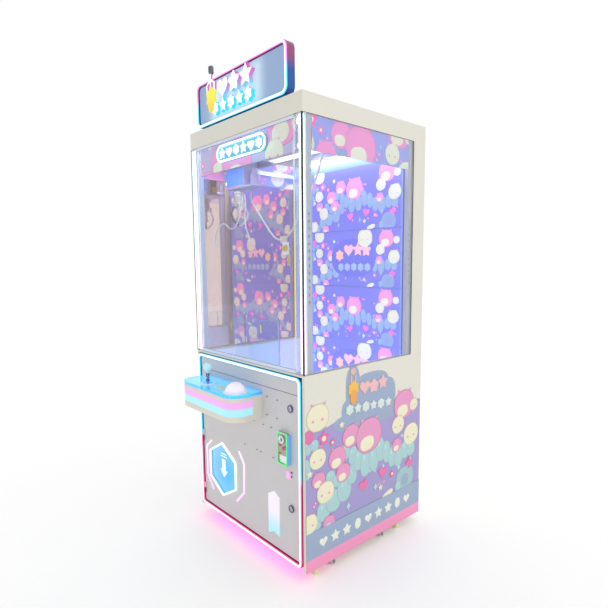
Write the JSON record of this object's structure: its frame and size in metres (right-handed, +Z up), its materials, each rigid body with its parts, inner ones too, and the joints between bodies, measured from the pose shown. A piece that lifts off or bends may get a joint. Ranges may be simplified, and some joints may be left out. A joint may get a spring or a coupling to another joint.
{
  "type": "claw crane machine",
  "caption": "Glazed prize crane cabinet with a gantry claw, lit control console, coin unit, prize door, glass door, roof sign and castors.",
  "frame": {"origin": "middle of the footprint on the floor, console included", "axes": "+Z up; -Y is the front, where the door is; +X is to the right of somebody who looks at the front"},
  "size_m": [0.866, 0.946, 2.259],
  "materials": {
    "painted_board": "board faced in satin warm white",
    "console_cream": "satin powder coat, warm white",
    "pan_board": "raw board with steel castor plates",
    "door_sheet": "fine textured powder coat, pale grey",
    "trim_channel": "dark blue anodised",
    "deck_board": "laminated, pale blue",
    "duct_sheet": "galvanised sheet",
    "clear_acrylic": "clear acrylic",
    "clear_glass": "clear tempered glass",
    "printed_wall": "printed panel",
    "white_upright": "white enamel",
    "rail_steel": "brushed",
    "sign_panel": "opal acrylic",
    "sign_emblem": "lit acrylic",
    "black_plastic": "moulded",
    "steel_foot": "zinc plated",
    "brass_lock": "satin brass",
    "chrome_lock": "polished",
    "lit_band": "lit diffuser",
    "door_light": "lit diffuser",
    "coin_face": "die-cast face",
    "blue_acrylic": "blue acrylic",
    "flap_acrylic": "blue acrylic",
    "stick_plastic": "clear moulded",
    "button_plastic": "clear moulded dome",
    "red_plastic": "moulded",
    "crane_steel": "pale blue-grey enamel",
    "crane_cover": "bright blue",
    "claw_chrome": "polished",
    "claw_dark": "dark nickel",
    "claw_coil": "satin",
    "cable_pvc": "white PVC",
    "castor_tread": "cream polyurethane"
  },
  "bodies": {
    "cabinet": {"base_pan": "pan_board", "side_panels": "painted_board", "rear_shell": "painted_board", "front_apron": "door_sheet", "front_surround": "trim_channel", "sill_frame": "painted_board", "prize_bed": "deck_board", "chute_duct": "duct_sheet", "chute_guard": "clear_acrylic", "back_wall": "printed_wall", "side_glass_left": "clear_glass", "fixed_glass": "clear_glass", "slotted_uprights": "white_upright", "header": "painted_board", "banner_boards": "printed_wall", "gantry_rails": "rail_steel", "marquee_frame": "trim_channel", "marquee_panel": "sign_panel", "marquee_emblem": "sign_emblem", "power_unit": "black_plastic", "levelling_feet": "steel_foot"},
    "window_door": {"window_glass": "clear_glass", "window_frame": "rail_steel"},
    "window_lock": {"window_lock": "brass_lock"},
    "front_door": {"door_panel": "door_sheet", "console_shell": "console_cream", "console_top": "blue_acrylic", "console_light_band": "lit_band", "door_lights": "door_light", "coin_unit": "coin_face"},
    "lock_upper": {"lock_upper": "chrome_lock"},
    "lock_lower": {"lock_lower": "chrome_lock"},
    "prize_flap": {"prize_flap": "flap_acrylic"},
    "stick_gimbal": {"gimbal_ring": "black_plastic"},
    "joystick": {"joystick": "stick_plastic"},
    "play_button": {"play_button": "button_plastic"},
    "coin_reject": {"coin_reject_button": "red_plastic"},
    "coin_return": {"coin_return_flap": "chrome_lock"},
    "gantry": {"gantry_beam": "rail_steel", "festoon_cable": "cable_pvc"},
    "carriage": {"carriage_chassis": "crane_steel", "carriage_cover": "crane_cover"},
    "hoist_drum": {"hoist_drum": "black_plastic"},
    "claw": {"claw_housing": "claw_coil", "hoist_string": "cable_pvc", "plug_lead": "cable_pvc", "coil_lead": "cable_pvc", "lead_connectors": "button_plastic"},
    "claw_plunger": {"claw_plunger": "claw_chrome"},
    "finger_1": {"claw_finger_1": "claw_chrome"},
    "finger_2": {"claw_finger_2": "claw_chrome"},
    "finger_3": {"claw_finger_3": "claw_dark"},
    "castor_fork_1": {"castor_fork_1": "steel_foot"},
    "castor_wheel_1": {"castor_wheel_1": "castor_tread"},
    "castor_fork_2": {"castor_fork_2": "steel_foot"},
    "castor_wheel_2": {"castor_wheel_2": "castor_tread"},
    "castor_fork_3": {"castor_fork_3": "steel_foot"},
    "castor_wheel_3": {"castor_wheel_3": "castor_tread"},
    "castor_fork_4": {"castor_fork_4": "steel_foot"},
    "castor_wheel_4": {"castor_wheel_4": "castor_tread"}
  },
  "joints": [
    {"name": "front_door_hinge", "type": "hinge", "parent": "cabinet", "child": "front_door", "pos_m": [-0.392, -0.3175, 0.445], "axis": [0, 0, -1], "range_deg": [0, 95]},
    {"name": "lock_upper_turn", "type": "hinge", "parent": "front_door", "child": "lock_upper", "pos_m": [0.341, -0.313, 0.747], "axis": [0, -1, 0], "range_deg": [0, 90]},
    {"name": "lock_lower_turn", "type": "hinge", "parent": "front_door", "child": "lock_lower", "pos_m": [0.341, -0.313, 0.306], "axis": [0, -1, 0], "range_deg": [0, 90]},
    {"name": "prize_flap_swing", "type": "hinge", "parent": "front_door", "child": "prize_flap", "pos_m": [-0.207, -0.305, 0.462], "axis": [1, 0, 0], "range_deg": [0, 60]},
    {"name": "stick_tilt_fore_aft", "type": "hinge", "parent": "front_door", "child": "stick_gimbal", "pos_m": [-0.155, -0.415, 0.74], "axis": [1, 0, 0], "range_deg": [-14, 14], "stiffness_Nm_per_rad": 3},
    {"name": "stick_tilt_side", "type": "hinge", "parent": "stick_gimbal", "child": "joystick", "pos_m": [-0.155, -0.415, 0.74], "axis": [0, 1, 0], "range_deg": [-14, 14], "stiffness_Nm_per_rad": 3},
    {"name": "play_button_press", "type": "slide", "parent": "front_door", "child": "play_button", "axis": [0, 0, -1], "range_m": [0, 0.004], "stiffness_N_per_m": 900, "springref_m": -0.003},
    {"name": "coin_reject_press", "type": "slide", "parent": "front_door", "child": "coin_reject", "axis": [0, 1, 0], "range_m": [0, 0.004], "stiffness_N_per_m": 300, "springref_m": -0.002},
    {"name": "coin_return_swing", "type": "hinge", "parent": "front_door", "child": "coin_return", "pos_m": [0.3075, -0.329, 0.537], "axis": [1, 0, 0], "range_deg": [0, 60]},
    {"name": "window_door_hinge", "type": "hinge", "parent": "cabinet", "child": "window_door", "pos_m": [-0.368, -0.309, 1.411], "axis": [0, 0, -1], "range_deg": [0, 95]},
    {"name": "window_lock_turn", "type": "hinge", "parent": "window_door", "child": "window_lock", "pos_m": [0.324, -0.313, 1.412], "axis": [0, -1, 0], "range_deg": [0, 90]},
    {"name": "gantry_travel", "type": "slide", "parent": "cabinet", "child": "gantry", "axis": [0, 1, 0], "range_m": [0, 0.36]},
    {"name": "carriage_travel", "type": "slide", "parent": "gantry", "child": "carriage", "axis": [1, 0, 0], "range_m": [0, 0.45], "deforming": ["festoon_cable"]},
    {"name": "hoist_drop", "type": "slide", "parent": "carriage", "child": "claw", "axis": [0, 0, -1], "range_m": [0, 0.5], "deforming": ["hoist_string"]},
    {"name": "drum_spin", "type": "hinge", "parent": "carriage", "child": "hoist_drum", "pos_m": [-0.255, -0.1275, 1.79], "axis": [1, 0, 0], "range_deg": [0, 1920]},
    {"name": "claw_release", "type": "slide", "parent": "claw", "child": "claw_plunger", "axis": [0, 0, -1], "range_m": [0, 0.014]},
    {"name": "finger_1_swing", "type": "hinge", "parent": "claw", "child": "finger_1", "pos_m": [-0.22902, -0.129, 1.645], "axis": [0.5, -0.866, 0], "range_deg": [0, 46]},
    {"name": "finger_2_swing", "type": "hinge", "parent": "claw", "child": "finger_2", "pos_m": [-0.28098, -0.129, 1.645], "axis": [0.5, 0.866, 0], "range_deg": [0, 46]},
    {"name": "finger_3_swing", "type": "hinge", "parent": "claw", "child": "finger_3", "pos_m": [-0.255, -0.174, 1.645], "axis": [-1, 0, 0], "range_deg": [0, 46]},
    {"name": "castor_1_swivel", "type": "hinge", "parent": "cabinet", "child": "castor_fork_1", "pos_m": [0.382, -0.24, 0.066], "axis": [0, 0, 1], "continuous": true},
    {"name": "castor_1_roll", "type": "hinge", "parent": "castor_fork_1", "child": "castor_wheel_1", "pos_m": [0.4, -0.24, 0.026], "axis": [0, 1, 0], "continuous": true},
    {"name": "castor_2_swivel", "type": "hinge", "parent": "cabinet", "child": "castor_fork_2", "pos_m": [-0.382, -0.24, 0.066], "axis": [0, 0, 1], "continuous": true},
    {"name": "castor_2_roll", "type": "hinge", "parent": "castor_fork_2", "child": "castor_wheel_2", "pos_m": [-0.364, -0.24, 0.026], "axis": [0, 1, 0], "continuous": true},
    {"name": "castor_3_swivel", "type": "hinge", "parent": "cabinet", "child": "castor_fork_3", "pos_m": [0.382, 0.315, 0.066], "axis": [0, 0, 1], "continuous": true},
    {"name": "castor_3_roll", "type": "hinge", "parent": "castor_fork_3", "child": "castor_wheel_3", "pos_m": [0.4, 0.315, 0.026], "axis": [0, 1, 0], "continuous": true},
    {"name": "castor_4_swivel", "type": "hinge", "parent": "cabinet", "child": "castor_fork_4", "pos_m": [-0.382, 0.315, 0.066], "axis": [0, 0, 1], "continuous": true},
    {"name": "castor_4_roll", "type": "hinge", "parent": "castor_fork_4", "child": "castor_wheel_4", "pos_m": [-0.364, 0.315, 0.026], "axis": [0, 1, 0], "continuous": true}
  ],
  "couplings": [
    {"joint": "drum_spin", "follows": "hoist_drop", "rad_per_m": 66.667},
    {"joint": "finger_1_swing", "follows": "claw_release", "rad_per_m": 56},
    {"joint": "finger_2_swing", "follows": "claw_release", "rad_per_m": 56},
    {"joint": "finger_3_swing", "follows": "claw_release", "rad_per_m": 56}
  ]
}
